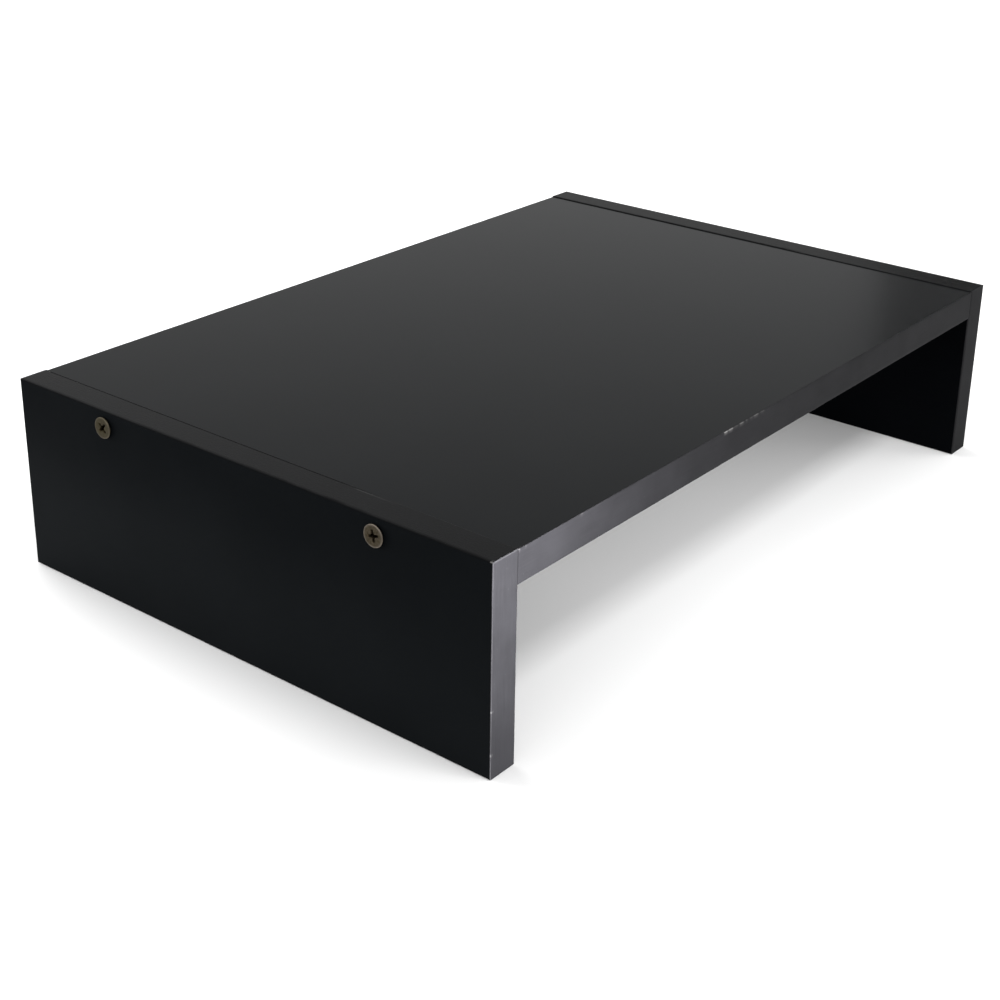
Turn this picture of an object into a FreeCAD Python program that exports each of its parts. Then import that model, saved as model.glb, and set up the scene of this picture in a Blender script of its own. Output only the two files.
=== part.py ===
"""Desktop monitor riser: a top board fixed between two side panels.

The three boards are black melamine-faced chipboard. Each has a chipboard core,
a thin melamine facing on both broad sides and glued edge strips on the edges
that show. Two countersunk chipboard screws a side go through the side panel
into the end of the top board.

Frame: millimetres, +Z up, +X along the width, -Y is the front. The origin is
the middle of the footprint, on the surface that the riser stands on.
"""

import FreeCAD, Part
import math
import os

import Sketcher

V = FreeCAD.Vector

doc = FreeCAD.newDocument("MonitorRiser")

# ---------------------------------------------------------------- dimensions
DIMENSIONS = [
    # alias, value, meaning
    ("overall_width", 420, "across the outer faces of the side panels"),
    ("overall_depth", 280, "front to back"),
    ("overall_height", 95, "desk to the top of the side panels"),
    ("board_thickness", 15, "finished thickness of every board"),
    ("film_thickness", 0.2, "melamine facing"),
    ("band_thickness", 0.5, "edge strip"),
    ("band_bevel", 0.35, "trimmed bevel along an edge strip"),
    ("top_drop", 0.4, "upper face of the top board below the panel tops"),
    ("screw_setback", 59, "screw axis from the front and from the back"),
    ("head_diameter", 10, "screw head"),
    ("head_proud", 1.3, "head stands above the panel face"),
    ("head_rim", 0.5, "depth of the rim above the 45 degree cone"),
    ("head_bevel", 0.3, "bevel round the top of the head"),
    ("screw_length", 50, "top of the head to the point"),
    ("root_diameter", 3.2, "thread root"),
    ("thread_diameter", 5, "thread crest"),
    ("thread_pitch", 2.5, "thread ridge spacing"),
    ("thread_start", 9, "first ridge below the top of the head"),
    ("thread_width", 0.9, "ridge width at the root"),
    ("point_length", 7, "tapered point"),
    ("clearance_diameter", 5.2, "hole through the side panel"),
    ("pilot_diameter", 3.6, "hole in the end of the top board"),
    ("pilot_depth", 37, "depth of that hole"),
    ("recess_span", 5.6, "cross recess, tip to tip at the surface"),
    ("recess_slot", 1.25, "cross recess, slot width at the surface"),
    ("recess_depth", 2.5, "cross recess depth"),
    ("recess_floor_span", 2.4, "cross recess, tip to tip at the floor"),
    ("recess_floor_slot", 0.85, "cross recess, slot width at the floor"),
]

sheet = doc.addObject("Spreadsheet::Sheet", "Dimensions")
for row, (alias, value, meaning) in enumerate(DIMENSIONS, start=1):
    sheet.set("A%d" % row, meaning)
    sheet.set("B%d" % row, str(value))
    sheet.setAlias("B%d" % row, alias)
doc.recompute()


def dim(name):
    """The number in the sheet's cell of that alias."""
    return float(sheet.get(name))


def ex(text):
    """Expression text: every {alias} becomes a reference to the sheet."""
    out = text
    for alias, _, _ in DIMENSIONS:
        out = out.replace("{" + alias + "}", "Dimensions." + alias)
    return out


def value(text):
    """The same expression worked out, for the starting geometry of a sketch."""
    out = text
    for alias, _, _ in DIMENSIONS:
        out = out.replace("{" + alias + "}", "(%r)" % dim(alias))
    total = 0.0
    # the expressions used for starting geometry are sums of plain products
    for sign, term in split_terms(out):
        product = 1.0
        for k, factor in enumerate(split_factors(term)):
            op, text_number = factor
            number = float(text_number.strip().strip("()"))
            product = number if k == 0 else (product * number if op == "*" else product / number)
        total += sign * product
    return total


def split_terms(text):
    """Split 'a + b - c' at the signs outside brackets."""
    terms, depth, sign, current = [], 0, 1.0, ""
    for ch in text:
        if ch == "(":
            depth += 1
        if ch == ")":
            depth -= 1
        if ch in "+-" and depth == 0:
            if current.strip():
                terms.append((sign, current))
            sign = 1.0 if ch == "+" else -1.0
            current = ""
        else:
            current += ch
    if current.strip():
        terms.append((sign, current))
    return terms


def split_factors(text):
    """Split 'a * b / c' at the operators."""
    factors, op, current = [], "*", ""
    for ch in text:
        if ch in "*/":
            factors.append((op, current))
            op, current = ch, ""
        else:
            current += ch
    factors.append((op, current))
    return factors


# ------------------------------------------------------------------- helpers
SUBPARTS = []


def new_body(label):
    body = doc.addObject("PartDesign::Body", label)
    body.Label = label
    SUBPARTS.append(body)
    return body


def origin_plane(body, role):
    for feature in body.Origin.OriginFeatures:
        if feature.Role == role:
            return feature
    raise ValueError(role)


def sketch_on(body, role, name, offset_expr=None):
    """A sketch on one of the body's own origin planes, moved along its normal."""
    sk = body.newObject("Sketcher::SketchObject", name)
    sk.AttachmentSupport = [(origin_plane(body, role), "")]
    sk.MapMode = "FlatFace"
    if offset_expr:
        sk.setExpression("AttachmentOffset.Base.z", ex(offset_expr))
    return sk


def centred_rectangle(sk, width_expr, height_expr):
    """A rectangle about the sketch origin, its sides bound to the sheet."""
    w, h = value(width_expr) / 2, value(height_expr) / 2
    p = [V(-w, -h, 0), V(w, -h, 0), V(w, h, 0), V(-w, h, 0)]
    for k in range(4):
        sk.addGeometry(Part.LineSegment(p[k], p[(k + 1) % 4]), False)
    for k in range(4):
        sk.addConstraint(Sketcher.Constraint("Coincident", k, 2, (k + 1) % 4, 1))
    for k, kind in ((0, "Horizontal"), (2, "Horizontal"), (1, "Vertical"), (3, "Vertical")):
        sk.addConstraint(Sketcher.Constraint(kind, k))
    sk.addConstraint(Sketcher.Constraint("Symmetric", 0, 1, 1, 2, -1, 1))
    i = sk.addConstraint(Sketcher.Constraint("DistanceX", 0, 1, 0, 2, 2 * w))
    sk.renameConstraint(i, "across")
    sk.setExpression("Constraints.across", ex(width_expr))
    i = sk.addConstraint(Sketcher.Constraint("DistanceY", 1, 1, 1, 2, 2 * h))
    sk.renameConstraint(i, "upward")
    sk.setExpression("Constraints.upward", ex(height_expr))


def hole_pair(sk, diameter_expr, apart_expr, up_expr):
    """Two equal circles at the screw axes, either side of the sketch's upright axis."""
    r, half, up = value(diameter_expr) / 2, value(apart_expr) / 2, value(up_expr)
    a = sk.addGeometry(Part.Circle(V(-half, up, 0), V(0, 0, 1), r), False)
    b = sk.addGeometry(Part.Circle(V(half, up, 0), V(0, 0, 1), r), False)
    sk.addConstraint(Sketcher.Constraint("Equal", a, b))
    sk.addConstraint(Sketcher.Constraint("Symmetric", a, 3, b, 3, -2))
    i = sk.addConstraint(Sketcher.Constraint("Diameter", a, 2 * r))
    sk.renameConstraint(i, "bore")
    sk.setExpression("Constraints.bore", ex(diameter_expr))
    i = sk.addConstraint(Sketcher.Constraint("DistanceX", a, 3, b, 3, 2 * half))
    sk.renameConstraint(i, "apart")
    sk.setExpression("Constraints.apart", ex(apart_expr))
    if abs(up) > 1e-9:
        i = sk.addConstraint(Sketcher.Constraint("DistanceY", -1, 1, a, 3, up))
        sk.renameConstraint(i, "upto")
        sk.setExpression("Constraints.upto", ex(up_expr))
    else:
        sk.addConstraint(Sketcher.Constraint("PointOnObject", a, 3, -1))


def pad(body, sk, length_expr, name="Pad"):
    feature = body.newObject("PartDesign::Pad", name)
    feature.Profile = sk
    feature.setExpression("Length", ex(length_expr))
    return feature


def place(body, x="0", y="0", z="0"):
    for axis, text in (("x", x), ("y", y), ("z", z)):
        body.setExpression("Placement.Base." + axis, ex(text))


def bevel_edges(body, base, picks):
    """Bevel the straight edges of base that picks() accepts."""
    doc.recompute()
    names = ["Edge%d" % (k + 1) for k, e in enumerate(base.Shape.Edges) if picks(e)]
    if len(names) != 2:
        raise ValueError("%s: found %d edges to bevel" % (body.Label, len(names)))
    chamfer = body.newObject("PartDesign::Chamfer", "TrimmedEdges")
    chamfer.Base = (base, names)
    chamfer.setExpression("Size", ex("{band_bevel}"))
    doc.recompute()
    before, after = base.Shape.Volume, chamfer.Shape.Volume
    if not after < before:
        raise ValueError(body.Label + ": the bevel cut nothing")
    return chamfer


def runs_along(edge, axis, level_axis, level):
    """True for an edge along one axis whose other coordinate is at a level."""
    a, b = edge.Vertexes[0].Point, edge.Vertexes[-1].Point
    d = b - a
    length = d.Length
    if length < 1 or abs(abs(getattr(d, axis)) - length) > 1e-6:
        return False
    return abs(getattr(a, level_axis) - level) < 1e-6


# --------------------------------------------------------------- common sizes
CORE_DEPTH = "{overall_depth} - 2 * {band_thickness}"
PANEL_CORE_HEIGHT = "{overall_height} - 2 * {band_thickness}"
CORE_THICKNESS = "{board_thickness} - 2 * {film_thickness}"
TOP_LENGTH = "{overall_width} - 2 * {board_thickness}"
SCREW_SPREAD = "{overall_depth} - 2 * {screw_setback}"
# the screws sit at mid-thickness of the top board; this is their height above
# the middle of the side panel
SCREW_UP = "{overall_height} / 2 - {top_drop} - {board_thickness} / 2"


# ------------------------------------------------------------------ top board
body = new_body("top_board_core")
sk = sketch_on(body, "YZ_Plane", "CoreSection", "0 - {overall_width} / 2 + {board_thickness}")
centred_rectangle(sk, CORE_DEPTH, CORE_THICKNESS)
core_pad = pad(body, sk, TOP_LENGTH)
doc.recompute()
solid_volume = core_pad.Shape.Volume
# pilot holes: the left pair is cut towards +X and the right pair towards -X
for side, at, flip in (("Left", "0 - {overall_width} / 2 + {board_thickness}", True),
                       ("Right", "{overall_width} / 2 - {board_thickness}", False)):
    sk = sketch_on(body, "YZ_Plane", side + "PilotCircles", at)
    hole_pair(sk, "{pilot_diameter}", SCREW_SPREAD, "0")
    pilot = body.newObject("PartDesign::Pocket", side + "PilotHoles")
    pilot.Profile = sk
    pilot.setExpression("Length", ex("{pilot_depth}"))
    pilot.Reversed = flip
    doc.recompute()
    removed = solid_volume - pilot.Shape.Volume
    wanted = 2 * math.pi * (dim("pilot_diameter") / 2) ** 2 * dim("pilot_depth")
    if abs(removed - wanted) > 1:
        raise ValueError("%s pilot holes removed %.1f, not %.1f" % (side, removed, wanted))
    solid_volume = pilot.Shape.Volume
place(body, z="{overall_height} - {top_drop} - {board_thickness} / 2")

for label, level in (
    ("top_board_upper_laminate", "{overall_height} - {top_drop} - {film_thickness}"),
    ("top_board_lower_laminate", "{overall_height} - {top_drop} - {board_thickness}"),
):
    body = new_body(label)
    sk = sketch_on(body, "XY_Plane", "FacingOutline")
    centred_rectangle(sk, TOP_LENGTH, CORE_DEPTH)
    pad(body, sk, "{film_thickness}")
    place(body, z=level)

# the XZ plane's normal is -Y, so a strip is padded from y = 0 to y = -thickness
for label, level, outer in (
    ("top_board_front_edge_band", "0 - {overall_depth} / 2 + {band_thickness}", "front"),
    ("top_board_back_edge_band", "{overall_depth} / 2", "back"),
):
    body = new_body(label)
    sk = sketch_on(body, "XZ_Plane", "StripOutline")
    centred_rectangle(sk, TOP_LENGTH, "{board_thickness}")
    strip = pad(body, sk, "{band_thickness}")
    face_y = -dim("band_thickness") if outer == "front" else 0.0
    bevel_edges(body, strip, lambda e, y=face_y: runs_along(e, "x", "y", y))
    place(body, y=level, z="{overall_height} - {top_drop} - {board_thickness} / 2")


# ---------------------------------------------------------------- side panels
def seat_cones(body, face_expr, mirrored, base_x):
    """Cut the two 45 degree screw seats. base_x is the body's own x, so that
    the cones, given in the riser's frame, fall in the body's frame."""
    proud, rim = dim("head_proud"), dim("head_rim")
    outer = dim("head_diameter") / 2 - (proud - rim)
    hole = dim("clearance_diameter") / 2
    for name, sign in (("FrontSeat", -1), ("BackSeat", 1)):
        cone = body.newObject("PartDesign::SubtractiveCone", name)
        cone.setExpression("Radius1", ex("{head_diameter} / 2 - {head_proud} + {head_rim}"))
        cone.setExpression("Radius2", ex("{clearance_diameter} / 2"))
        cone.setExpression(
            "Height",
            ex("{head_diameter} / 2 - {head_proud} + {head_rim} - {clearance_diameter} / 2"),
        )
        turn = FreeCAD.Rotation(V(0, 1, 0), -90 if mirrored else 90)
        cone.Placement = FreeCAD.Placement(V(0, 0, 0), turn)
        cone.setExpression("Placement.Base.x", ex(face_expr))
        cone.setExpression(
            "Placement.Base.y", ex(("0 - " if sign < 0 else "") + "({overall_depth} / 2 - {screw_setback})")
        )
        cone.setExpression("Placement.Base.z", ex(SCREW_UP))
        doc.recompute()
    return outer, hole


for side in ("left", "right"):
    mirrored = side == "right"
    # layers from the outer face inwards, as offsets along X of each pad's start
    if not mirrored:
        start = {
            "outer": "0 - {overall_width} / 2",
            "core": "0 - {overall_width} / 2 + {film_thickness}",
            "inner": "0 - {overall_width} / 2 + {board_thickness} - {film_thickness}",
        }
        middle = "0 - {overall_width} / 2 + {board_thickness} / 2"
    else:
        start = {
            "outer": "{overall_width} / 2 - {film_thickness}",
            "core": "{overall_width} / 2 - {board_thickness} + {film_thickness}",
            "inner": "{overall_width} / 2 - {board_thickness}",
        }
        middle = "{overall_width} / 2 - {board_thickness} / 2"

    # core, with the clearance holes in its outline and the screw seats cut after
    body = new_body(side + "_panel_core")
    sk = sketch_on(body, "YZ_Plane", "PanelOutline")
    centred_rectangle(sk, CORE_DEPTH, PANEL_CORE_HEIGHT)
    hole_pair(sk, "{clearance_diameter}", SCREW_SPREAD, SCREW_UP)
    pad(body, sk, CORE_THICKNESS)
    doc.recompute()
    before = body.Shape.Volume
    # the panel face is one film thickness outside the core's outer face
    seat_cones(body, "0 - {film_thickness}" if not mirrored else "{board_thickness} - {film_thickness}",
               mirrored, start["core"])
    if not body.Shape.Volume < before - 10:
        raise ValueError(side + " panel core: the screw seats cut nothing")
    place(body, x=start["core"], z="{overall_height} / 2")

    body = new_body(side + "_panel_outer_laminate")
    sk = sketch_on(body, "YZ_Plane", "FacingOutline")
    centred_rectangle(sk, CORE_DEPTH, PANEL_CORE_HEIGHT)
    hole_pair(sk, "{clearance_diameter}", SCREW_SPREAD, SCREW_UP)
    pad(body, sk, "{film_thickness}")
    doc.recompute()
    before = body.Shape.Volume
    seat_cones(body, "0" if not mirrored else "{film_thickness}", mirrored, start["outer"])
    if not body.Shape.Volume < before - 5:
        raise ValueError(side + " outer facing: the screw seats cut nothing")
    place(body, x=start["outer"], z="{overall_height} / 2")

    body = new_body(side + "_panel_inner_laminate")
    sk = sketch_on(body, "YZ_Plane", "FacingOutline")
    centred_rectangle(sk, CORE_DEPTH, PANEL_CORE_HEIGHT)
    hole_pair(sk, "{clearance_diameter}", SCREW_SPREAD, SCREW_UP)
    pad(body, sk, "{film_thickness}")
    place(body, x=start["inner"], z="{overall_height} / 2")

    # the front and back strips run the full height; the others fit between them
    for end, level, face_y in (
        ("front", "0 - {overall_depth} / 2 + {band_thickness}", -dim("band_thickness")),
        ("back", "{overall_depth} / 2", 0.0),
    ):
        body = new_body("%s_panel_%s_edge_band" % (side, end))
        sk = sketch_on(body, "XZ_Plane", "StripOutline")
        centred_rectangle(sk, "{board_thickness}", "{overall_height}")
        strip = pad(body, sk, "{band_thickness}")
        bevel_edges(body, strip, lambda e, y=face_y: runs_along(e, "z", "y", y))
        place(body, x=middle, y=level, z="{overall_height} / 2")

    for end, level, face_z in (
        ("top", "{overall_height} - {band_thickness}", dim("band_thickness")),
        ("bottom", "0", 0.0),
    ):
        body = new_body("%s_panel_%s_edge_band" % (side, end))
        sk = sketch_on(body, "XY_Plane", "StripOutline")
        centred_rectangle(sk, "{board_thickness}", CORE_DEPTH)
        strip = pad(body, sk, "{band_thickness}")
        bevel_edges(body, strip, lambda e, z=face_z: runs_along(e, "y", "z", z))
        place(body, x=middle, z=level)


# --------------------------------------------------------------------- screws
def screw(label, x_expr, y_expr, towards, turned):
    """A countersunk chipboard screw, made upright with the top of its head at
    z = 0 and its point downwards, then laid along X. turned is how far the
    cross recess is turned about the screw's axis, in degrees."""
    body = new_body(label)

    # head, shank root and point as one revolved outline
    hr, rr = dim("head_diameter") / 2, dim("root_diameter") / 2
    rim, bev, length, tip = dim("head_rim"), dim("head_bevel"), dim("screw_length"), dim("point_length")
    flat = 0.25  # half width of the point's blunt end
    outline = [
        (0, 0), (hr - bev, 0), (hr, -bev), (hr, -rim), (rr, -rim - (hr - rr)),
        (rr, -length + tip), (flat, -length), (0, -length),
    ]
    sk = sketch_on(body, "XZ_Plane", "ScrewOutline")
    n = len(outline)
    for k in range(n):
        (x0, z0), (x1, z1) = outline[k], outline[(k + 1) % n]
        sk.addGeometry(Part.LineSegment(V(x0, z0, 0), V(x1, z1, 0)), False)
    for k in range(n):
        sk.addConstraint(Sketcher.Constraint("Coincident", k, 2, (k + 1) % n, 1))
    sk.addConstraint(Sketcher.Constraint("Coincident", 0, 1, -1, 1))
    sk.addConstraint(Sketcher.Constraint("Horizontal", 0))
    sk.addConstraint(Sketcher.Constraint("Vertical", 2))
    sk.addConstraint(Sketcher.Constraint("Vertical", 4))
    sk.addConstraint(Sketcher.Constraint("Horizontal", 6))
    sk.addConstraint(Sketcher.Constraint("Vertical", 7))

    def bound(name, kind, *args):
        *where, number, text = args
        i = sk.addConstraint(Sketcher.Constraint(kind, *where, number))
        sk.renameConstraint(i, name)
        if text:
            sk.setExpression("Constraints." + name, ex(text))

    bound("headflat", "DistanceX", 0, 1, 0, 2, hr - bev, "{head_diameter} / 2 - {head_bevel}")
    bound("bevelout", "DistanceX", 0, 2, 1, 2, bev, "{head_bevel}")
    bound("beveldown", "DistanceY", 1, 2, 0, 2, bev, "{head_bevel}")
    bound("rimdown", "DistanceY", 2, 2, 0, 2, rim, "{head_rim}")
    bound("rootout", "DistanceX", 0, 1, 3, 2, rr, "{root_diameter} / 2")
    bound("conedown", "DistanceY", 3, 2, 2, 2, hr - rr, "{head_diameter} / 2 - {root_diameter} / 2")
    bound("shankdown", "DistanceY", 4, 2, 0, 2, length - tip, "{screw_length} - {point_length}")
    bound("allthewaydown", "DistanceY", 5, 2, 0, 2, length, "{screw_length}")
    bound("bluntpoint", "DistanceX", 6, 2, 6, 1, flat, None)
    turn = body.newObject("PartDesign::Revolution", "HeadAndShank")
    turn.Profile = sk
    turn.ReferenceAxis = (sk, ["V_Axis"])
    turn.Angle = 360
    doc.recompute()

    # thread: one ridge, repeated down the shank as far as the point
    half, crest = dim("thread_width") / 2, dim("thread_diameter") / 2
    at = dim("thread_start")
    sk = sketch_on(body, "XZ_Plane", "RidgeOutline")
    inner = rr - 0.4  # the ridge is rooted inside the shank
    ridge = [(inner, -at + half), (rr, -at + half), (crest, -at + 0.1), (crest, -at - 0.1),
             (rr, -at - half), (inner, -at - half)]
    n = len(ridge)
    for k in range(n):
        (x0, z0), (x1, z1) = ridge[k], ridge[(k + 1) % n]
        sk.addGeometry(Part.LineSegment(V(x0, z0, 0), V(x1, z1, 0)), False)
    for k in range(n):
        sk.addConstraint(Sketcher.Constraint("Coincident", k, 2, (k + 1) % n, 1))
    sk.addConstraint(Sketcher.Constraint("Horizontal", 0))
    sk.addConstraint(Sketcher.Constraint("Vertical", 2))
    sk.addConstraint(Sketcher.Constraint("Horizontal", 4))
    sk.addConstraint(Sketcher.Constraint("Vertical", 5))
    sk.addConstraint(Sketcher.Constraint("Equal", 1, 3))
    bound("ridgebase", "DistanceY", 4, 1, 1, 1, 2 * half, "{thread_width}")
    bound("ridgecrest", "DistanceY", 3, 1, 2, 1, 0.2, None)
    bound("ridgeroot", "DistanceX", -1, 1, 1, 1, rr, "{root_diameter} / 2")
    bound("ridgeout", "DistanceX", -1, 1, 2, 1, crest, "{thread_diameter} / 2")
    bound("ridgein", "DistanceX", -1, 1, 0, 1, inner, "{root_diameter} / 2 - 0.4")
    bound("ridgeat", "DistanceY", 1, 1, -1, 1, at - half, "{thread_start} - {thread_width} / 2")
    ring = body.newObject("PartDesign::Revolution", "ThreadRidge")
    ring.Profile = sk
    ring.ReferenceAxis = (sk, ["V_Axis"])
    ring.Angle = 360
    doc.recompute()
    one = body.Shape.Volume
    count = int((length - tip - at) // dim("thread_pitch")) + 1
    rows = body.newObject("PartDesign::LinearPattern", "ThreadRidges")
    rows.Originals = [ring]
    rows.Direction = (sk, ["V_Axis"])
    rows.Reversed = True
    rows.Occurrences = count
    rows.setExpression("Length", ex("{thread_pitch} * %d" % (count - 1)))
    body.Tip = rows
    doc.recompute()
    if not body.Shape.Volume > one + 1:
        raise ValueError(label + ": the thread ridges were not repeated")

    # cross recess: two tapering slots at right angles
    before = body.Shape.Volume
    for name, wide, tall, floor_wide, floor_tall in (
        ("SlotA", "{recess_span}", "{recess_slot}", "{recess_floor_span}", "{recess_floor_slot}"),
        ("SlotB", "{recess_slot}", "{recess_span}", "{recess_floor_slot}", "{recess_floor_span}"),
    ):
        upper = sketch_on(body, "XY_Plane", name + "Mouth")
        centred_rectangle(upper, wide, tall)
        lower = sketch_on(body, "XY_Plane", name + "Floor", "0 - {recess_depth}")
        centred_rectangle(lower, floor_wide, floor_tall)
        loft = body.newObject("PartDesign::SubtractiveLoft", name)
        loft.Profile = upper
        loft.Sections = [lower]
        loft.Ruled = True
        doc.recompute()
    body.Tip = loft
    doc.recompute()
    if not body.Shape.Volume < before - 8:
        raise ValueError(label + ": the cross recess cut nothing")

    # lay it along X: the point goes inwards, the head faces out
    lay = FreeCAD.Rotation(V(0, 1, 0), -90 if towards > 0 else 90)
    spin = FreeCAD.Rotation(V(1, 0, 0), turned)
    body.Placement = FreeCAD.Placement(V(0, 0, 0), spin.multiply(lay))
    place(body, x=x_expr, y=y_expr, z="{overall_height} - {top_drop} - {board_thickness} / 2")
    return body


LEFT_HEAD = "0 - {overall_width} / 2 - {head_proud}"
RIGHT_HEAD = "{overall_width} / 2 + {head_proud}"
FRONT_Y = "0 - ({overall_depth} / 2 - {screw_setback})"
BACK_Y = "{overall_depth} / 2 - {screw_setback}"
screw("front_left_screw", LEFT_HEAD, FRONT_Y, 1, 8)
screw("back_left_screw", LEFT_HEAD, BACK_Y, 1, 47)
screw("front_right_screw", RIGHT_HEAD, FRONT_Y, -1, 24)
screw("back_right_screw", RIGHT_HEAD, BACK_Y, -1, 71)

# --------------------------------------------------------------------- checks
doc.recompute()
for obj in doc.Objects:
    bad = [s for s in obj.State if s in ("Invalid", "Error")]
    if bad:
        raise RuntimeError("%s (%s) is %s" % (obj.Name, obj.Label, bad))
for body in SUBPARTS:
    shape = body.Shape
    if shape.isNull() or not shape.isValid():
        raise RuntimeError(body.Label + ": the shape is null or not valid")
    if len(shape.Solids) != 1:
        raise RuntimeError("%s has %d solids" % (body.Label, len(shape.Solids)))

whole = FreeCAD.BoundBox()
for body in SUBPARTS:
    whole.add(body.Shape.BoundBox)
print("whole: x %.2f..%.2f y %.2f..%.2f z %.2f..%.2f" % (
    whole.XMin, whole.XMax, whole.YMin, whole.YMax, whole.ZMin, whole.ZMax))
wanted = (
    -dim("overall_width") / 2 - dim("head_proud"), dim("overall_width") / 2 + dim("head_proud"),
    -dim("overall_depth") / 2, dim("overall_depth") / 2, 0.0, dim("overall_height"),
)
found = (whole.XMin, whole.XMax, whole.YMin, whole.YMax, whole.ZMin, whole.ZMax)
for a, b in zip(wanted, found):
    if abs(a - b) > 0.01:
        raise RuntimeError("the outer size is %s, not %s" % (found, wanted))

# --------------------------------------------------------------------- export
os.makedirs("parts", exist_ok=True)
for body in SUBPARTS:
    b = body.Shape.BoundBox
    print("%-28s vol %10.2f  x %.2f..%.2f  y %.2f..%.2f  z %.2f..%.2f" % (
        body.Label, body.Shape.Volume, b.XMin, b.XMax, b.YMin, b.YMax, b.ZMin, b.ZMax))
    body.Shape.exportStep("parts/%s.step" % body.Label)
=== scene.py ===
"""Desktop monitor riser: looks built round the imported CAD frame.

Lengths in the builders are millimetres in the CAD frame and are turned into
metres when a mesh is made.
"""

import math
import random

import bmesh
import bpy
import numpy as np
from mathutils import Matrix, Vector, noise


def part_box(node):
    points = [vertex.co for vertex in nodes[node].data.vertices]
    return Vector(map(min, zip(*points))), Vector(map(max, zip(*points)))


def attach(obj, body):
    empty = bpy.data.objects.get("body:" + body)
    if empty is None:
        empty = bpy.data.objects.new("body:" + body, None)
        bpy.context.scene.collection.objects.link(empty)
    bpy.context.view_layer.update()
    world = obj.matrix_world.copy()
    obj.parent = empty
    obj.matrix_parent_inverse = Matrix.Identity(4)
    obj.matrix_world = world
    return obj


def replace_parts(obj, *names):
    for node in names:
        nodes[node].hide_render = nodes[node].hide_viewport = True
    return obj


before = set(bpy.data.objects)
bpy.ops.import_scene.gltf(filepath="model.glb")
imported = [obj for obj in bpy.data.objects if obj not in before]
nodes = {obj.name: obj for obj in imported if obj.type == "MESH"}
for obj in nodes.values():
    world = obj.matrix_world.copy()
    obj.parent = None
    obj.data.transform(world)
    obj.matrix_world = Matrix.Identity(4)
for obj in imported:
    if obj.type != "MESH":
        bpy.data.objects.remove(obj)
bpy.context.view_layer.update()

scene = bpy.context.scene
MM = 0.001


def mm_box(node):
    lo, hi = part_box(node)
    return Vector(lo) / MM, Vector(hi) / MM


# ------------------------------------------------------------------ materials
def new_material(name):
    mat = bpy.data.materials.new(name)
    mat.use_nodes = True
    nt = mat.node_tree
    nt.nodes.clear()
    out = nt.nodes.new("ShaderNodeOutputMaterial")
    bsdf = nt.nodes.new("ShaderNodeBsdfPrincipled")
    nt.links.new(bsdf.outputs["BSDF"], out.inputs["Surface"])
    return mat, nt, bsdf


def node(nt, kind, inputs=None, **props):
    n = nt.nodes.new(kind)
    for k, v in props.items():
        setattr(n, k, v)
    for k, v in (inputs or {}).items():
        if hasattr(v, "is_output") or hasattr(v, "links"):
            nt.links.new(v, n.inputs[k])
        else:
            n.inputs[k].default_value = v
    return n


def coords(nt, scale=(1, 1, 1)):
    """Object coordinates in millimetres."""
    tc = node(nt, "ShaderNodeTexCoord")
    m = node(nt, "ShaderNodeMapping")
    m.inputs["Scale"].default_value = [1000 * s for s in scale]
    nt.links.new(tc.outputs["Object"], m.inputs["Vector"])
    return m.outputs["Vector"]


def noise_tex(nt, vec, scale, detail=3.0, rough=0.55, dist=0.0):
    n = node(nt, "ShaderNodeTexNoise")
    nt.links.new(vec, n.inputs["Vector"])
    n.inputs["Scale"].default_value = scale
    n.inputs["Detail"].default_value = detail
    n.inputs["Roughness"].default_value = rough
    n.inputs["Distortion"].default_value = dist
    return n.outputs["Fac"]


def map_range(nt, value, a, b, c, d, smooth=False):
    n = node(nt, "ShaderNodeMapRange")
    n.clamp = True
    if smooth:
        n.interpolation_type = "SMOOTHSTEP"
    nt.links.new(value, n.inputs["Value"])
    for k, v in (("From Min", a), ("From Max", b), ("To Min", c), ("To Max", d)):
        n.inputs[k].default_value = v
    return n.outputs["Result"]


def math_node(nt, op, a, b=None, clamp=False):
    n = node(nt, "ShaderNodeMath")
    n.operation = op
    n.use_clamp = clamp
    for i, v in enumerate((a, b)):
        if v is None:
            continue
        if isinstance(v, (int, float)):
            n.inputs[i].default_value = v
        else:
            nt.links.new(v, n.inputs[i])
    return n.outputs["Value"]


def mix_colour(nt, fac, a, b):
    n = node(nt, "ShaderNodeMix")
    n.data_type = "RGBA"
    for key, v in (("Factor", fac), ("A", a), ("B", b)):
        sock = [s for s in n.inputs if s.name == key and (s.type == "RGBA") == (key != "Factor")
                and (key != "Factor" or s.type == "VALUE")][0]
        if isinstance(v, (int, float)):
            sock.default_value = v
        elif isinstance(v, (tuple, list)):
            sock.default_value = (*v, 1.0)
        else:
            nt.links.new(v, sock)
    return [s for s in n.outputs if s.type == "RGBA"][0]


def bump(nt, height, strength, distance, normal=None):
    n = node(nt, "ShaderNodeBump")
    n.inputs["Strength"].default_value = strength
    n.inputs["Distance"].default_value = distance
    nt.links.new(height, n.inputs["Height"])
    if normal is not None:
        nt.links.new(normal, n.inputs["Normal"])
    return n.outputs["Normal"]


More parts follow.
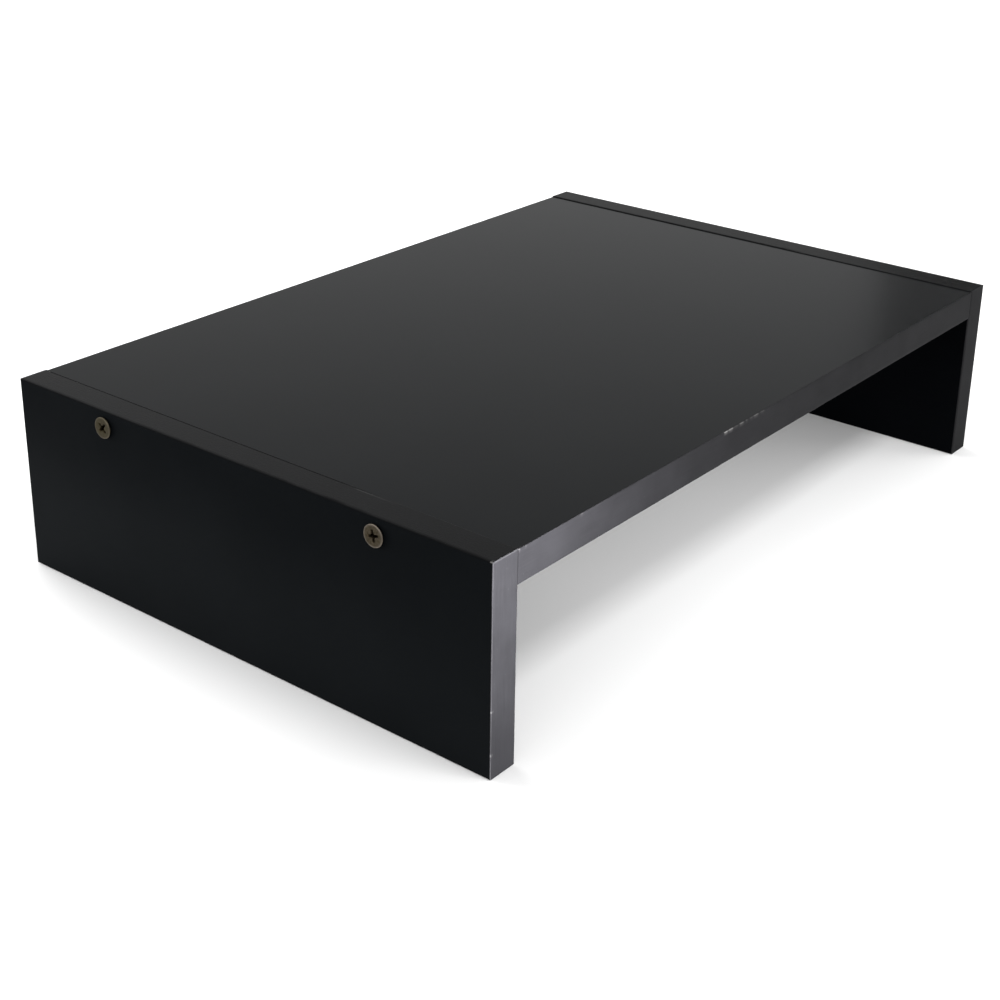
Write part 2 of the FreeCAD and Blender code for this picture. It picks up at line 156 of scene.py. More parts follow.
def melamine(name, base, specular, rough, paling=None):
    """Black melamine facing: a smooth pressed film with a faint pearl texture,
    very slight cloudiness, and a few fine rubs that only show in the gloss.
    paling: heights in mm between which the facing turns paler, a painted highlight for the exposed top of an inner
    face."""
    mat, nt, bsdf = new_material(name)
    vec = coords(nt)
    cloud = noise_tex(nt, vec, 0.018, 4, 0.5)
    fine = noise_tex(nt, vec, 1.9, 2, 0.6)
    pearl = noise_tex(nt, vec, 0.75, 3, 0.6)
    stretched = coords(nt, (0.05, 1.0, 1.0))
    rub = noise_tex(nt, stretched, 0.55, 3, 0.65, 0.4)
    dark = [c * 0.94 for c in base]
    light = [c * 1.07 + 0.0002 for c in base]
    tone = map_range(nt, cloud, 0.35, 0.65, 0.0, 1.0)
    colour = mix_colour(nt, tone, dark, light)
    # painted highlight: between the given heights the facing turns paler, standing in for the light caught by the
    # exposed top of an inner face above the top board
    if paling:
        parts = node(nt, "ShaderNodeSeparateXYZ")
        nt.links.new(vec, parts.inputs["Vector"])
        high = map_range(nt, parts.outputs["Z"], paling[0], paling[1], 0.0, 1.0)
        colour = mix_colour(nt, math_node(nt, "MULTIPLY", high, map_range(nt, pearl, 0.3, 0.6, 0.7, 1.0)),
                            colour, (0.026, 0.027, 0.027))
    nt.links.new(colour, bsdf.inputs["Base Color"])
    r = map_range(nt, cloud, 0.3, 0.7, rough - 0.010, rough + 0.010)
    r2 = map_range(nt, rub, 0.62, 0.80, 0.0, 0.05)
    r3 = map_range(nt, fine, 0.3, 0.7, -0.012, 0.012)
    total = math_node(nt, "ADD", math_node(nt, "ADD", r, r2), r3)
    nt.links.new(total, bsdf.inputs["Roughness"])
    bsdf.inputs["Specular IOR Level"].default_value = specular
    # the bluish specular tint is a painted cool tint on the reflections, standing in for the colour of the light
    bsdf.inputs["Specular Tint"].default_value = (0.72, 0.91, 1.0, 1.0)
    bsdf.inputs["IOR"].default_value = 1.5
    nt.links.new(bump(nt, pearl, 0.10, 0.00004), bsdf.inputs["Normal"])
    return mat


def edge_strip(name, base, pale, specular, rough, axis, chip=(0.55, 0.54, 0.52)):
    """Black plastic edge strip: faint extrusion lines along its length, arrises
    turned paler (partly trimming wear, partly a painted highlight on the rounded
    arris), specks, and pale material inside any chip. The meshes carry 'rub'
    (the paler arris: wear and painted highlight) and 'chip' (inside a nick)."""
    mat, nt, bsdf = new_material(name)
    squeeze = {"x": (0.02, 1, 1), "y": (1, 0.02, 1), "z": (1, 1, 0.02)}[axis]
    lines = noise_tex(nt, coords(nt, squeeze), 2.2, 3, 0.6)
    vec = coords(nt)
    cloud = noise_tex(nt, vec, 0.05, 4, 0.55)
    speck = noise_tex(nt, vec, 0.9, 1, 0.4)
    fine = noise_tex(nt, vec, 3.0, 2, 0.6)
    rub = node(nt, "ShaderNodeAttribute", attribute_name="rub").outputs["Fac"]
    nick = node(nt, "ShaderNodeAttribute", attribute_name="chip").outputs["Fac"]
    tone = map_range(nt, math_node(nt, "ADD", math_node(nt, "MULTIPLY", lines, 0.5),
                                   math_node(nt, "MULTIPLY", cloud, 0.5)), 0.38, 0.62, 0.0, 1.0)
    colour = mix_colour(nt, tone, [c * 0.85 for c in base], [c * 1.15 for c in base])
    spots = map_range(nt, speck, 0.74, 0.80, 0.0, 0.35)
    colour = mix_colour(nt, spots, colour, [c * 3 + 0.01 for c in base])
    # paler along the arris ('rub'): partly wear, partly a painted highlight on the rounded arris
    wear_and_highlight = math_node(nt, "MULTIPLY", rub, map_range(nt, cloud, 0.3, 0.6, 0.55, 1.0))
    wear_and_highlight = math_node(nt, "MULTIPLY", wear_and_highlight, map_range(nt, fine, 0.3, 0.6, 0.7, 1.0), clamp=True)
    colour = mix_colour(nt, wear_and_highlight, colour, pale)
    colour = mix_colour(nt, nick, colour, chip)
    nt.links.new(colour, bsdf.inputs["Base Color"])
    r = map_range(nt, lines, 0.3, 0.7, rough - 0.04, rough + 0.04)
    r = math_node(nt, "ADD", r, math_node(nt, "MULTIPLY", wear_and_highlight, 0.2))
    r = math_node(nt, "ADD", r, math_node(nt, "MULTIPLY", nick, 0.35), clamp=True)
    nt.links.new(r, bsdf.inputs["Roughness"])
    bsdf.inputs["Specular IOR Level"].default_value = specular
    height = math_node(nt, "ADD", math_node(nt, "MULTIPLY", lines, 0.6), math_node(nt, "MULTIPLY", fine, 0.4))
    nt.links.new(bump(nt, height, 0.15, 0.00004), bsdf.inputs["Normal"])
    return mat


def chipboard(name):
    """Pressed wood particles of mixed size and tone in resin."""
    mat, nt, bsdf = new_material(name)
    vec = coords(nt)
    warp = noise_tex(nt, vec, 0.5, 2, 0.5)
    flakes = node(nt, "ShaderNodeTexVoronoi")
    flakes.feature = "F1"
    nt.links.new(coords(nt, (1.0, 0.45, 1.0)), flakes.inputs["Vector"])
    flakes.inputs["Scale"].default_value = 0.55
    small = node(nt, "ShaderNodeTexVoronoi")
    nt.links.new(vec, small.inputs["Vector"])
    small.inputs["Scale"].default_value = 1.7
    value = node(nt, "ShaderNodeSeparateColor")
    nt.links.new(flakes.outputs["Color"], value.inputs["Color"])
    value2 = node(nt, "ShaderNodeSeparateColor")
    nt.links.new(small.outputs["Color"], value2.inputs["Color"])
    tone = math_node(nt, "ADD", math_node(nt, "MULTIPLY", value.outputs[0], 0.6),
                     math_node(nt, "MULTIPLY", value2.outputs[1], 0.4))
    colour = mix_colour(nt, tone, (0.24, 0.145, 0.075), (0.60, 0.44, 0.27))
    pits = map_range(nt, small.outputs["Distance"], 0.55, 0.85, 0.0, 0.7)
    colour = mix_colour(nt, pits, colour, (0.10, 0.06, 0.03))
    colour = mix_colour(nt, map_range(nt, warp, 0.4, 0.7, 0.0, 0.25), colour, (0.50, 0.34, 0.18))
    nt.links.new(colour, bsdf.inputs["Base Color"])
    nt.links.new(map_range(nt, warp, 0.3, 0.7, 0.72, 0.92), bsdf.inputs["Roughness"])
    h = math_node(nt, "SUBTRACT", tone, math_node(nt, "MULTIPLY", pits, 0.8))
    nt.links.new(bump(nt, h, 0.6, 0.00025), bsdf.inputs["Normal"])
    return mat


def brass_plate(name):
    """Antique brass plating on steel: warm grey-brown, mottled; paler on the rim
    bevel and thread crests, a painted highlight ('rim' on the mesh); near-black in the
    cross recess and a little darker on the cone under the head, painted shade there ('deep' on the mesh)."""
    mat, nt, bsdf = new_material(name)
    vec = coords(nt)
    mottle = noise_tex(nt, vec, 0.9, 4, 0.6, 0.3)
    fine = noise_tex(nt, vec, 5.0, 3, 0.6)
    deep = node(nt, "ShaderNodeAttribute", attribute_name="deep").outputs["Fac"]
    rim = node(nt, "ShaderNodeAttribute", attribute_name="rim").outputs["Fac"]
    age = node(nt, "ShaderNodeAttribute", attribute_name="age").outputs["Fac"]
    colour = mix_colour(nt, map_range(nt, mottle, 0.35, 0.65, 0.0, 1.0),
                        (0.120, 0.098, 0.056), (0.200, 0.162, 0.112))
    colour = mix_colour(nt, map_range(nt, fine, 0.55, 0.75, 0.0, 0.35), colour, (0.07, 0.055, 0.028))
    # paler plating along 'rim': a painted highlight on the rim bevel and thread crests
    colour = mix_colour(nt, math_node(nt, "MULTIPLY", rim, 0.75), colour, (0.33, 0.285, 0.235))
    # darker and more olive by a per-screw amount
    colour = mix_colour(nt, math_node(nt, "MULTIPLY", age, 0.8), colour, (0.088, 0.076, 0.034))
    # 'deep' turns the cross recess near-black and darkens the underside of the rim and the cone a little, painted
    # shade there
    colour = mix_colour(nt, deep, colour, (0.012, 0.006, 0.001))
    nt.links.new(colour, bsdf.inputs["Base Color"])
    bsdf.inputs["Metallic"].default_value = 1.0
    r = math_node(nt, "ADD", map_range(nt, mottle, 0.3, 0.7, 0.36, 0.50), math_node(nt, "MULTIPLY", deep, 0.3))
    nt.links.new(r, bsdf.inputs["Roughness"])
    nt.links.new(bump(nt, fine, 0.25, 0.00003), bsdf.inputs["Normal"])
    return mat


# One black melamine in four copies, set apart to match how each face is lit: the outer side faces carry less gloss
# and a slightly paler, bluer base; the underside of the top board and the inner faces of the panels are painted
# darker, painted shade, and the inner copy also carries a paler band at its top, a painted highlight.
mat_top = melamine("melamine_top", (0.0032, 0.0035, 0.0039), 0.0352, 0.17)
mat_side = melamine("melamine_side", (0.0038, 0.0044, 0.0050), 0.0125, 0.32)
mat_under_painted_shade = melamine("melamine_shaded", (0.0016, 0.0017, 0.0021), 0.020, 0.42)
mat_inner_painted_shade = melamine("melamine_inner", (0.0008, 0.0009, 0.0012), 0.014, 0.42, paling=(94.5, 94.8))
# One edge-strip plastic in lit and shaded copies: the strips on the front and back faces carry a base colour about
# five times lighter than the top and bottom strips of the panels, painted light for the lit front faces; the right
# front strip is a darker copy, painted shade.
mat_strip_x = edge_strip("edge_strip_x", (0.0162, 0.0162, 0.0172), (0.08, 0.08, 0.082), 0.014, 0.48, "x")
mat_strip_left = edge_strip("edge_strip_left", (0.0028, 0.0030, 0.0033), (0.018, 0.018, 0.019), 0.033, 0.26, "y")
mat_strip_right = edge_strip("edge_strip_right", (0.0030, 0.0032, 0.0033), (0.018, 0.018, 0.019), 0.022, 0.30, "y")
mat_strip_z = edge_strip("edge_strip_z", (0.0162, 0.0162, 0.0172), (0.11, 0.11, 0.112), 0.014, 0.48, "z")
mat_strip_z_right_painted_shade = edge_strip("edge_strip_z_right", (0.0142, 0.0142, 0.0152), (0.08, 0.08, 0.082), 0.013, 0.48, "z")
mat_core = chipboard("chipboard")
mat_brass = brass_plate("antique_brass")


# -------------------------------------------------------------- mesh builders
def smooth_noise(x, seed, size):
    return noise.noise(Vector((x / size, seed * 7.31, seed * 1.73)))


def finish_mesh(name, bm, attributes, material, sharp=35):
    bmesh.ops.recalc_face_normals(bm, faces=bm.faces)
    me = bpy.data.meshes.new(name)
    bm.to_mesh(me)
    bm.free()
    for key, values in attributes.items():
        a = me.attributes.new(key, "FLOAT", "POINT")
        a.data.foreach_set("value", np.asarray(values, np.float32))
    me.polygons.foreach_set("use_smooth", [True] * len(me.polygons))
    me.set_sharp_from_angle(angle=math.radians(sharp))
    obj = bpy.data.objects.new(name, me)
    scene.collection.objects.link(obj)
    me.materials.append(material)
    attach(obj, "root")
    return obj


def edge_strip_piece(label, along, outward, chips=(), groove=None, radius=0.35, seed=1,
                     paling=(0.2, 0.2), paling_low=0.0, material=None, end_bevel=0.12):
    """An edge strip swept along its length, in place of the CAD strip of the
    same name. along and outward are signed axes such as '+x'. The two outer
    arrises are rounded and slightly uneven from hand trimming.

    chips: (position along, arris -1 or +1, length, depth, paleness) nicks in mm.
    groove: (arris, from, to) a fine open joint line beside one arris.
    paling: how much paler the two arrises are, 0 to 1, partly wear and partly a
    painted highlight; paling_low: how much less at the far end than at the near end."""
    lo, hi = mm_box(label)
    ax = {"x": 0, "y": 1, "z": 2}
    a, o = ax[along[1]], ax[outward[1]]
    w = 3 - a - o
    osign = 1 if outward[0] == "+" else -1
    length0, length1 = lo[a], hi[a]
    width0, width1 = lo[w], hi[w]
    base = lo[o] if osign > 0 else hi[o]
    thick = hi[o] - lo[o]
    rng = random.Random(seed)

    # stations along the strip, closer together at nicks and at the ends
    stations = set()
    step = 4.0 if length1 - length0 > 150 else 2.5
    n = max(4, int(round((length1 - length0) / step)))
    for k in range(n + 1):
        stations.add(round(length0 + (length1 - length0) * k / n, 4))
    for e in (end_bevel * 0.35, end_bevel, end_bevel + 0.6):
        stations.add(round(length0 + e, 4))
        stations.add(round(length1 - e, 4))
    for pos, side, clen, depth, tone in chips:
        m = max(6, int(clen / 0.22))
        for k in range(m + 1):
            s = pos - clen * 0.6 + clen * 1.2 * k / m
            if length0 + 0.2 < s < length1 - 0.2:
                stations.add(round(s, 4))
    if groove:
        for k in range(9):
            stations.add(round(groove[2] + (groove[1] - groove[2]) * k / 8 * 0.25, 4))
    stations = sorted(stations)
    stations = [s for k, s in enumerate(stations) if k == 0 or s - stations[k - 1] > 0.02]

    # cross-section: u across the board, v outward; arrises rounded
    arc = 5
    profile = [(width0, 0.0, "side", -1)]
    for k in range(arc + 1):
        t = math.pi / 2 * k / arc
        profile.append((width0 + radius * (1 - math.cos(t)), thick - radius + radius * math.sin(t), "arc", -1))
    inner = []
    if groove:
        side = groove[0]
        edge = width0 if side < 0 else width1
        inward = 1 if side < 0 else -1
        pts = [(edge + inward * d, thick, "groove%d" % i, side) for i, d in
               enumerate((0.42, 0.55, 0.80, 0.95))]
        inner = sorted(pts, key=lambda p: p[0])
    mids = [width0 + (width1 - width0) * f for f in (0.12, 0.3, 0.5, 0.7, 0.88)]
    flat = [(m, thick, "flat", 0) for m in mids
            if all(abs(m - p[0]) > 0.3 for p in inner)]
    profile += sorted(flat + inner, key=lambda p: p[0])
    for k in range(arc + 1):
        t = math.pi / 2 * (1 - k / arc)
        profile.append((width1 - radius * (1 - math.cos(t)), thick - radius + radius * math.sin(t), "arc", 1))
    profile.append((width1, 0.0, "side", 1))

    bm = bmesh.new()
    rub, chip = [], []
    rings = []
    middle = (width0 + width1) / 2
    for s in stations:
        from_end = min(s - length0, length1 - s)
        tuck = 0.0
        if from_end < end_bevel:
            tuck = end_bevel - math.sqrt(max(0.0, end_bevel**2 - (end_bevel - from_end) ** 2))
        ring = []
        for u, v, kind, side in profile:
            r, c = 0.0, 0.0
            du = dv = 0.0
            inward = 1 if side < 0 else -1
            if kind == "arc":
                # how far this point is out on the arris, 0 to 1
                out_u = 1 - abs((u - (width0 if side < 0 else width1))) / radius
                out_v = (v - (thick - radius)) / radius
                on = max(0.0, min(out_u, out_v) * 2.2)
                uneven = 0.045 * smooth_noise(s, seed + side, 9.0) + 0.03 * smooth_noise(s, seed + 3 * side, 2.6)
                du += inward * max(0.0, 0.02 + uneven) * on
                dv -= max(0.0, 0.02 + uneven) * on
                # the rounded arris is marked paler ('rub'), partly wear and partly a painted highlight
                r = min(1.0, on * 1.2) * (0.55 + 0.45 * smooth_noise(s, seed + 11 * side, 22.0))
                r = max(0.0, r) * paling[0 if side < 0 else 1]
                r *= 1 - paling_low * (s - length0) / (length1 - length0)
            for pos, cside, clen, depth, tone in chips:
                if cside != side or kind not in ("arc",):
                    continue
                x = (s - pos) / (clen / 2)
                if abs(x) < 1.15:
                    ragged = 0.75 + 0.35 * noise.noise(Vector((s * 2.3, pos, 4.0)))
                    f = max(0.0, 1 - abs(x) ** 2.4) * ragged
                    out_u = 1 - abs((u - (width0 if side < 0 else width1))) / radius
                    out_v = (v - (thick - radius)) / radius
                    on = max(0.0, min(1.0, 2.4 * min(out_u, out_v)))
                    du += inward * depth * f * on * 0.75
                    dv -= depth * f * on * 0.55
                    c = max(c, tone * min(1.0, f * 1.6 * (0.35 + on)))
            if kind.startswith("groove"):
                lo_s, hi_s = sorted((groove[1], groove[2]))
                fade = 1.0
                # the open joint closes up towards groove[2]
                run = abs(groove[1] - groove[2])
                fade = min(1.0, abs(s - groove[2]) / (run * 0.25)) if lo_s <= s <= hi_s else 0.0
                fade *= 0.8 + 0.35 * smooth_noise(s, seed + 5, 14.0)
                if kind in ("groove1", "groove2"):
                    dv -= 0.34 * max(0.0, fade)
            uu, vv = u + du, v + dv
            if tuck:
                uu = middle + (uu - middle) * (1 - tuck / (width1 - width0) * 2)
                if v > thick / 2:
                    vv -= tuck * 0.8
                # the tucked ends are marked paler too, wear and painted highlight
                r = max(r, max(paling) * 0.3)
            uu = min(max(uu, width0), width1)
            vv = min(max(vv, 0.0), thick)
            p = [0.0, 0.0, 0.0]
            p[a], p[w], p[o] = s, uu, base + osign * vv
            ring.append(bm.verts.new([x * MM for x in p]))
            rub.append(r)
            chip.append(c)
        rings.append(ring)
    m = len(profile)
    for i in range(len(rings) - 1):
        for j in range(m):
            k = (j + 1) % m
            bm.faces.new((rings[i][j], rings[i][k], rings[i + 1][k], rings[i + 1][j]))
    bm.faces.new(rings[0])
    bm.faces.new(list(reversed(rings[-1])))
    return finish_mesh("strip_" + label, bm, {"rub": rub, "chip": chip}, material)


def screw_piece(label, turned, age):
    """A 5 mm chipboard screw: bevelled flat head with a cross recess, cone,
    plain neck, a coarse helical thread and a point. Built along -Z with the
    head's top at z = 0, then laid along X."""
    lo, hi = mm_box(label)
    centre = (lo + hi) / 2
    leftward = centre.x < 0
    head_r, root_r, crest_r = 5.0, 1.6, 2.5
    rim, bevel, length, tip = 0.5, 0.3, 50.0, 7.0
    bm = bmesh.new()
    deep, painted_highlight_mask = [], []

    # ---- head top with its cross recess, as a polar grid of rings
    seg = 96
    span, slot, depth = 2.8, 0.62, 2.4

    def recess(x, y):
        """Depth of the recess and how far inside it a point is."""
        best = 0.0
        for u, v in ((x, y), (y, x)):
            # distance inside a tapering slot along u
            inside_v = (slot - abs(v)) / 0.16
            inside_u = (span - abs(u)) / 0.30
            f = max(0.0, min(1.0, inside_v, inside_u))
            fall = min(1.0, max(0.0, (span - abs(u)) / 1.15))
            best = max(best, f * (0.35 + 0.65 * fall))
        hub = max(0.0, min(1.0, (1.25 - math.hypot(x, y)) / 0.25))
        return max(best, hub)

    radii = ([0.0] + [0.16 * k for k in range(1, 21)] +
             [3.35, 3.6, 3.9, 4.2, 4.45, 4.62, head_r - bevel])
    rings = []
    spin = math.radians(turned)
    for r in radii:
        ring = []
        count = 1 if r == 0 else seg
        for k in range(count):
            t = 2 * math.pi * k / seg
            x, y = r * math.cos(t), r * math.sin(t)
            # recess pattern is turned, the ring isn't
            xr, yr = x * math.cos(spin) + y * math.sin(spin), -x * math.sin(spin) + y * math.cos(spin)
            f = recess(xr, yr)
            z = -depth * f
            # the face of the head dishes very slightly
            z -= 0.05 * max(0.0, 1 - (r / head_r) ** 2)
            ring.append(bm.verts.new((x, y, z)))
            deep.append(min(1.0, f * 1.8))
            # near the edge of the head top the plating is marked paler, a painted highlight
            painted_highlight_mask.append(max(0.0, min(1.0, (r - 4.1) / 0.5)))
        rings.append(ring)
    first = rings[0][0]
    for k in range(seg):
        bm.faces.new((first, rings[1][k], rings[1][(k + 1) % seg]))
    for i in range(1, len(rings) - 1):
        for k in range(seg):
            j = (k + 1) % seg
            bm.faces.new((rings[i][k], rings[i + 1][k], rings[i + 1][j], rings[i][j]))
    last = rings[-1]

    def add_ring(r, z, d=0.0, rv=0.0):
        nonlocal last
        ring = []
        for k in range(seg):
            t = 2 * math.pi * k / seg
            ring.append(bm.verts.new((r * math.cos(t), r * math.sin(t), z)))
            deep.append(d)
            painted_highlight_mask.append(rv)
        for k in range(seg):
            j = (k + 1) % seg
            bm.faces.new((last[k], ring[k], ring[j], last[j]))
        last = ring

    # bevel and rim are marked paler, a painted highlight; under the rim and down the cone 'deep' paints a little
    # shade
    for t in (0.25, 0.5, 0.75, 1.0):
        q = t * math.pi / 2
        add_ring(head_r - bevel + bevel * math.sin(q), -bevel + bevel * math.cos(q), 0.0, 1.0)
    add_ring(head_r, -rim, 0.0, 0.9)
    add_ring(head_r - 0.04, -rim - 0.05, 0.1, 0.4)
    for k in range(1, 9):
        f = k / 8
        add_ring(head_r + (root_r - head_r) * f, -rim - (head_r - root_r) * f, 0.15)

    # ---- shank with a helical thread
    start, end = -6.5, -length
    pitch = 2.5
    rows = int((start - end) / 0.16)
    for i in range(rows + 1):
        z = start + (end - start) * i / rows
        ring = []
        along_tip = max(0.0, (-z - (length - tip)) / tip)
        body_r = root_r * (1 - along_tip) + 0.12 * along_tip
        for k in range(seg):
            t = 2 * math.pi * k / seg
            # position within one turn of the thread at this angle
            ph = ((-z - 8.0) / pitch - k / seg) % 1.0
            ridge = max(0.0, 1 - abs(ph - 0.5) / 0.17)
            ridge = min(1.0, ridge * 1.12)
            fade = min(1.0, max(0.0, (-z - 8.2) / 2.5))
            crest = (crest_r - root_r) * (1 - 0.85 * along_tip)
            r = body_r + crest * ridge * fade
            ring.append(bm.verts.new((r * math.cos(t), r * math.sin(t), z)))
            deep.append(0.0)
            # thread crests are marked a little paler, a painted highlight
            painted_highlight_mask.append(0.4 * ridge)
        for k in range(seg):
            j = (k + 1) % seg
            bm.faces.new((last[k], ring[k], ring[j], last[j]))
        last = ring
    tipv = bm.verts.new((0, 0, -length))
    deep.append(0.0)
    painted_highlight_mask.append(0.0)
    for v in last:
        v.co.z += 0.12
    for k in range(seg):
        bm.faces.new((last[(k + 1) % seg], last[k], tipv))

    # ---- lay along X: +Z of the screw is the way the head faces
    turn = Matrix.Rotation(math.radians(-90 if leftward else 90), 4, "Y")
    head_x = lo.x if leftward else hi.x
    place = Matrix.Translation(Vector((head_x, centre.y, centre.z)))
    scale = Matrix.Scale(MM, 4)
    bmesh.ops.transform(bm, matrix=scale @ place @ turn, verts=bm.verts)
    return finish_mesh("detailed_" + label, bm,
                       {"deep": deep, "rim": painted_highlight_mask, "age": [age] * len(deep)}, mat_brass, sharp=30)


# ------------------------------------------------------------------ the pieces
def paint(names, material):
    for n in names:
        o = nodes[n]
        o.data.materials.clear()
        o.data.materials.append(material)


paint(["top_board_upper_laminate"], mat_top)
paint(["left_panel_outer_laminate", "right_panel_outer_laminate"], mat_side)
paint(["top_board_lower_laminate"], mat_under_painted_shade)
paint(["left_panel_inner_laminate", "right_panel_inner_laminate"], mat_inner_painted_shade)
paint(["top_board_core", "left_panel_core", "right_panel_core"], mat_core)

strips = {}
# x position along the top board's front arris of the chipped stretch
front_chips = [
    (-49.6, 1, 3.4, 0.22, 0.30), (-45.8, 1, 4.6, 0.18, 0.20), (-41.3, 1, 4.0, 0.06, 0.04),
    (-36.7, 1, 4.2, 0.14, 0.12), (-32.5, 1, 1.4, 0.10, 0.07), (-28.6, 1, 3.0, 0.06, 0.04),
    (-24.7, 1, 4.7, 0.12, 0.10), (-19.4, 1, 4.2, 0.06, 0.04),
    (-194.3, 1, 1.2, 0.16, 0.07), (-190.4, 1, 1.0, 0.06, 0.03), (-155.0, 1, 2.0, 0.05, 0.03),
]
strips["top_front"] = edge_strip_piece(
    "top_board_front_edge_band", "+x", "-y", chips=front_chips, seed=11, paling=(0.05, 0.10),
    material=mat_strip_x)
strips["top_back"] = edge_strip_piece(
    "top_board_back_edge_band", "+x", "+y", chips=[(120, 1, 3, 0.15, 0.07), (-64, 1, 1.6, 0.1, 0.05)],
    seed=12, paling=(0.05, 0.15), material=mat_strip_x)
for side in ("left", "right"):
    s = 20 if side == "left" else 40
    inner = 1 if side == "left" else -1
    # how much paler each arris is painted, wear and painted highlight: most on the outer arrises, and on the right
    # top strip on the inner arris towards the front
    outer_paling = (0.75, 0.10) if side == "left" else (0.10, 0.45)
    front_nicks = [(30.6, -1, 1.0, 0.10, 0.10), (11.1, -1, 1.2, 0.10, 0.10)] if side == "left" else []
    strips[side + "_front"] = edge_strip_piece(
        side + "_panel_front_edge_band", "+z", "-y", chips=front_nicks, seed=s + 1,
        paling=outer_paling, paling_low=0.55, material=mat_strip_z if side == "left" else mat_strip_z_right_painted_shade)
    strips[side + "_back"] = edge_strip_piece(
        side + "_panel_back_edge_band", "+z", "+y", seed=s + 2, paling=outer_paling, paling_low=0.5,
        material=mat_strip_z)
    top_nicks = [(-139.0, -1, 1.2, 0.16, 0.22), (-137.0, 1, 1.0, 0.14, 0.15), (-105.9, 1, 0.9, 0.14, 0.25)]
    strips[side + "_top"] = edge_strip_piece(
        side + "_panel_top_edge_band", "+y", "+z", chips=top_nicks if side == "left" else [],
        seed=s + 3, paling=(0.12, 0.06) if side == "left" else (0.60, 0.06),
        paling_low=0.0 if side == "left" else 0.9,
        groove=(inner, 139.0, -80.0 if side == "left" else -40.0),
        material=mat_strip_left if side == "left" else mat_strip_right)
    strips[side + "_bottom"] = edge_strip_piece(
        side + "_panel_bottom_edge_band", "+y", "-z", seed=s + 4, paling=(0.35, 0.35),
        material=mat_strip_left if side == "left" else mat_strip_right)
for key, o in strips.items():
    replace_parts(o, o.name[len("strip_"):])

for label, turned, age in (("front_left_screw", 12, 0.0), ("back_left_screw", 47, 0.75),
                           ("front_right_screw", 24, 0.3), ("back_right_screw", 71, 0.5)):
    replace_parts(screw_piece(label, turned, age), label)

# ------------------------------------------------------------ floor and lights
floor_me = bpy.data.meshes.new("studio_floor")
bm = bmesh.new()
bmesh.ops.create_grid(bm, x_segments=8, y_segments=8, size=14.0)
bm.to_mesh(floor_me)
bm.free()
floor = bpy.data.objects.new("studio_floor", floor_me)
scene.collection.objects.link(floor)
fmat, fnt, fb = new_material("studio_floor")
fn = noise_tex(fnt, coords(fnt), 0.002, 2, 0.5)
# pale round the riser, and as white as the studio walls further out
away = node(fnt, "ShaderNodeVectorMath")
away.operation = "LENGTH"
fnt.links.new(coords(fnt), away.inputs[0])
far_out = map_range(fnt, away.outputs["Value"], 1000.0, 1500.0, 0.0, 1.0, smooth=True)
fnt.links.new(mix_colour(fnt, far_out, mix_colour(fnt, fn, (0.86, 0.86, 0.86), (0.88, 0.88, 0.88)), (1.0, 1.0, 1.0)),
              fb.inputs["Base Color"])
fb.inputs["Roughness"].default_value = 0.9
fb.inputs["Specular IOR Level"].default_value = 0.1
floor_me.materials.append(fmat)
floor.location.z = -0.0002

world = bpy.data.worlds.new("studio_world")
world.use_nodes = True
bg = world.node_tree.nodes["Background"]
bg.inputs["Color"].default_value = (1.0, 1.0, 1.0, 1.0)
bg.inputs["Strength"].default_value = 1.0
scene.world = world


def area_light(name, at, aim, size, power, colour=(1, 1, 1), size_y=None, hidden=False):
    data = bpy.data.lights.new(name, "AREA")
    data.shape = "RECTANGLE"
    data.size = size
    data.size_y = size_y or size
    data.energy = power
    data.color = colour
    o = bpy.data.objects.new(name, data)
    scene.collection.objects.link(o)
    o.location = at
    o.rotation_mode = "QUATERNION"
    o.rotation_quaternion = (Vector(aim) - Vector(at)).to_track_quat("-Z", "Y")
    if hidden:
        o.visible_camera = False
        o.visible_glossy = False
    return o


# low wide fill that reaches the floor under the shelf through its open back
area_light("back_fill", (0.0, 1.6, 0.16), (0, 0, 0.03), 2.4, 133, size_y=0.25, hidden=True)
# key light high in front, which sets the front edge of the shadow under the
# shelf, and a softer one from the front right
area_light("front_overhead_softbox", (0.0, -0.95, 1.53), (0, 0, 0), 0.6, 11.4, size_y=0.35, hidden=True)
area_light("front_right_softbox", (1.0, -1.0, 0.9), (0, 0, 0.05), 0.8, 3.7, hidden=True)

# a narrow strip light close in front of the left corner, for the front edges only
edge_light = area_light("edge_strip_light", (-0.222, -0.245, 0.115), (-0.222, 0.0, 0.085), 0.03, 1.58,
                        (1.0, 0.98, 1.04), size_y=0.11, hidden=True)
lit = bpy.data.collections.new("front_edges")
for key in ("left_front", "top_front"):
    lit.objects.link(strips[key])
edge_light.light_linking.receiver_collection = lit


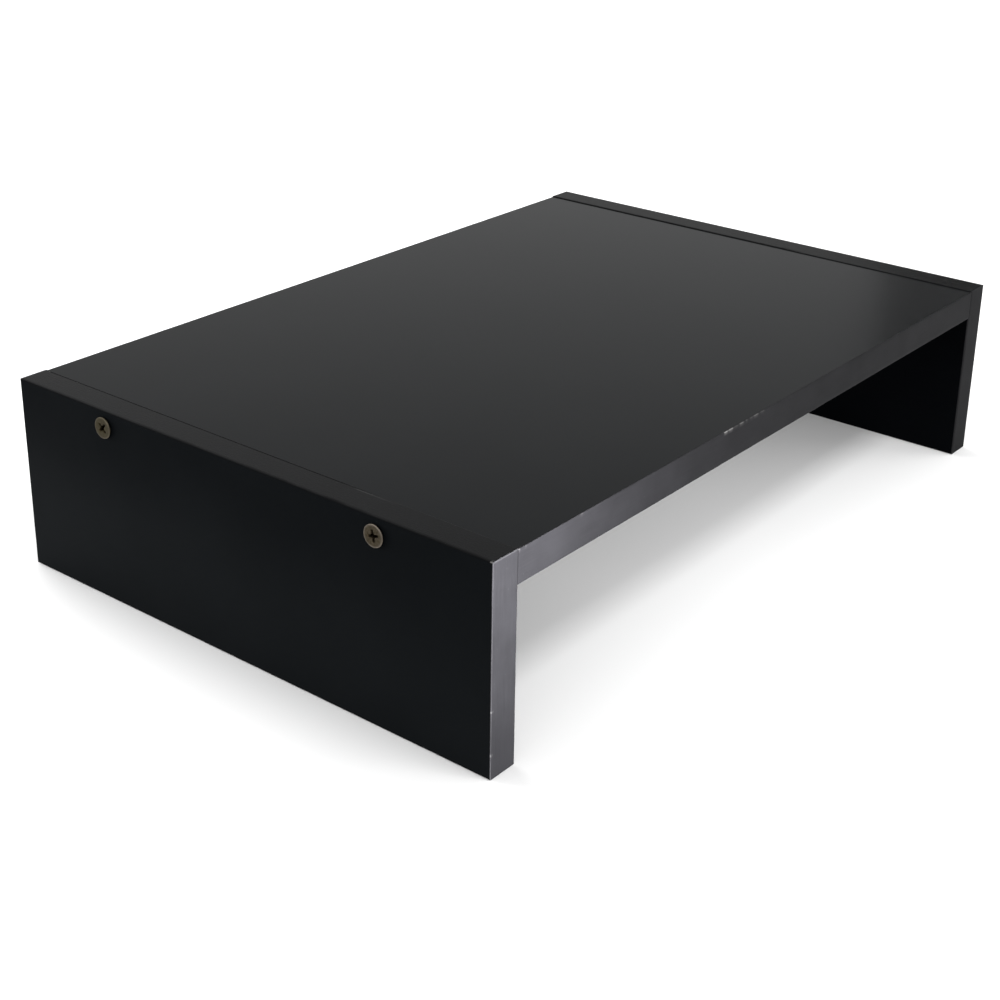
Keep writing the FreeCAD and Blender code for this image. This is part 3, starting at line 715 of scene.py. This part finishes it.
def flag_card(name, columns, albedo):
    """A grey card outside the view that only shows in the gloss."""
    me = bpy.data.meshes.new(name)
    bm = bmesh.new()
    grid = [[bm.verts.new(p) for p in col] for col in columns]
    for left, right in zip(grid, grid[1:]):
        for j in range(len(left) - 1):
            bm.faces.new((left[j], right[j], right[j + 1], left[j + 1]))
    bm.to_mesh(me)
    bm.free()
    o = bpy.data.objects.new(name, me)
    scene.collection.objects.link(o)
    mat, nt, bsdf = new_material(name)
    tone = noise_tex(nt, coords(nt), 0.004, 2, 0.5)
    nt.links.new(mix_colour(nt, tone, [albedo * 0.97] * 3, [albedo * 1.03] * 3), bsdf.inputs["Base Color"])
    bsdf.inputs["Roughness"].default_value = 0.9
    bsdf.inputs["Specular IOR Level"].default_value = 0.0
    me.materials.append(mat)
    o.visible_camera = False
    o.visible_diffuse = False
    o.visible_shadow = False
    return o


# one flag stands off to the right, one lies on the floor at the left
near, far = math.radians(-62), math.radians(22.1)
flag_card("right_flag", [[(2.6 * math.cos(t), 2.6 * math.sin(t), h) for h in (0.0, 0.8, 1.6, 2.4)]
                         for t in (near + (far - near) * k / 12 for k in range(13))], 0.19)
flag_card("floor_flag", [[(x, y, 0.002) for y in (-0.9, -0.3, 0.3, 0.9, 1.5)]
                         for x in (-0.285, -0.5, -0.9, -1.4)], 0.05)

# ---------------------------------------------------------------------- camera
cam_data = bpy.data.cameras.new("camera")
camera = bpy.data.objects.new("camera", cam_data)
scene.collection.objects.link(camera)
scene.camera = camera
unit = 95.0
C = Vector((-4.7191 * unit - 210.0, -3.7652 * unit - 140.0, 4.1796 * unit)) * MM
az, el, roll = (math.radians(a) for a in (39.1317, -22.4818, -0.5857))
zc = Vector((math.cos(el) * math.cos(az), math.cos(el) * math.sin(az), math.sin(el)))
xc = zc.cross(Vector((0, 0, 1))).normalized()
yc = zc.cross(xc)
xr = math.cos(roll) * xc + math.sin(roll) * yc
yr = -math.sin(roll) * xc + math.cos(roll) * yc
camera.matrix_world = Matrix((
    (xr.x, -yr.x, -zc.x, C.x), (xr.y, -yr.y, -zc.y, C.y), (xr.z, -yr.z, -zc.z, C.z), (0, 0, 0, 1)))
cam_data.sensor_width = 36.0
cam_data.lens = 1758.1192 / 1000 * 36.0
cam_data.shift_x = 0.020
cam_data.shift_y = -0.100
cam_data.clip_start, cam_data.clip_end = 0.01, 50.0

scene.view_settings.view_transform = "Standard"
scene.view_settings.look = "None"
scene.view_settings.exposure = 0.0
scene.view_settings.gamma = 1.0
